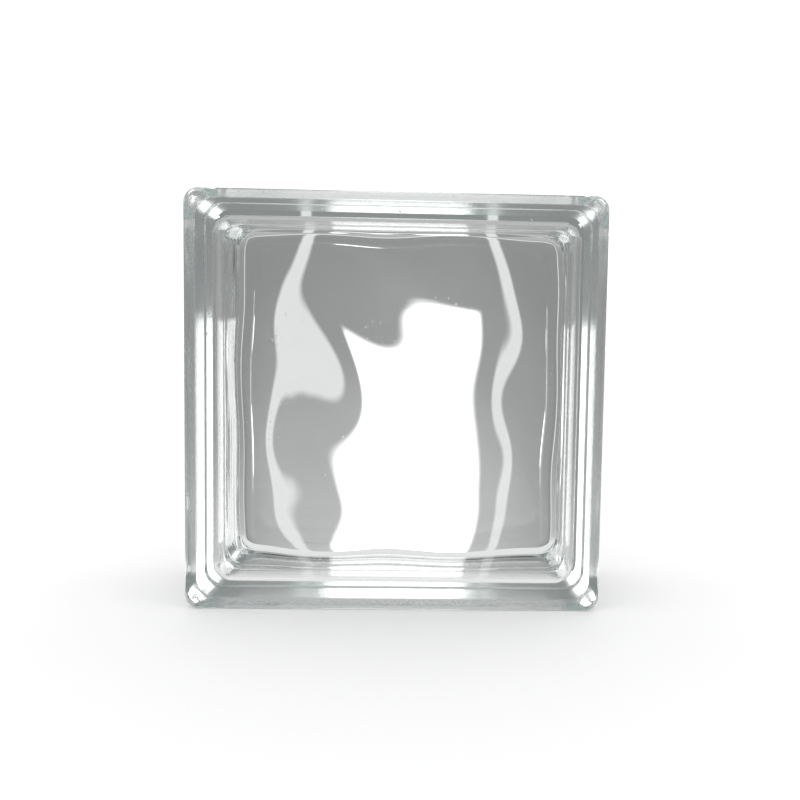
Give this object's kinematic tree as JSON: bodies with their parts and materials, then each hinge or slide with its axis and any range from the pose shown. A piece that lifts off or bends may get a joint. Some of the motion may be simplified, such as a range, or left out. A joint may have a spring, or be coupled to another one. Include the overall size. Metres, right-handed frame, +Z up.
{
  "type": "glass block",
  "caption": "Square hollow glass block with a wavy relief inside its faces and a mortar key round its edges, laid in walls that let light through.",
  "frame": {"origin": "middle of the footprint, under the bottom edge that the block stands on", "axes": "+Z up, +X across the block to the right as its front face is seen, -Y out of the front face"},
  "size_m": [0.19, 0.08, 0.19],
  "materials": {
    "glass": "clear pressed glass with a pale green tint, polished faces and a slightly dull mortar key"
  },
  "bodies": {
    "root": {"glass_block": "glass"}
  },
  "joints": []
}
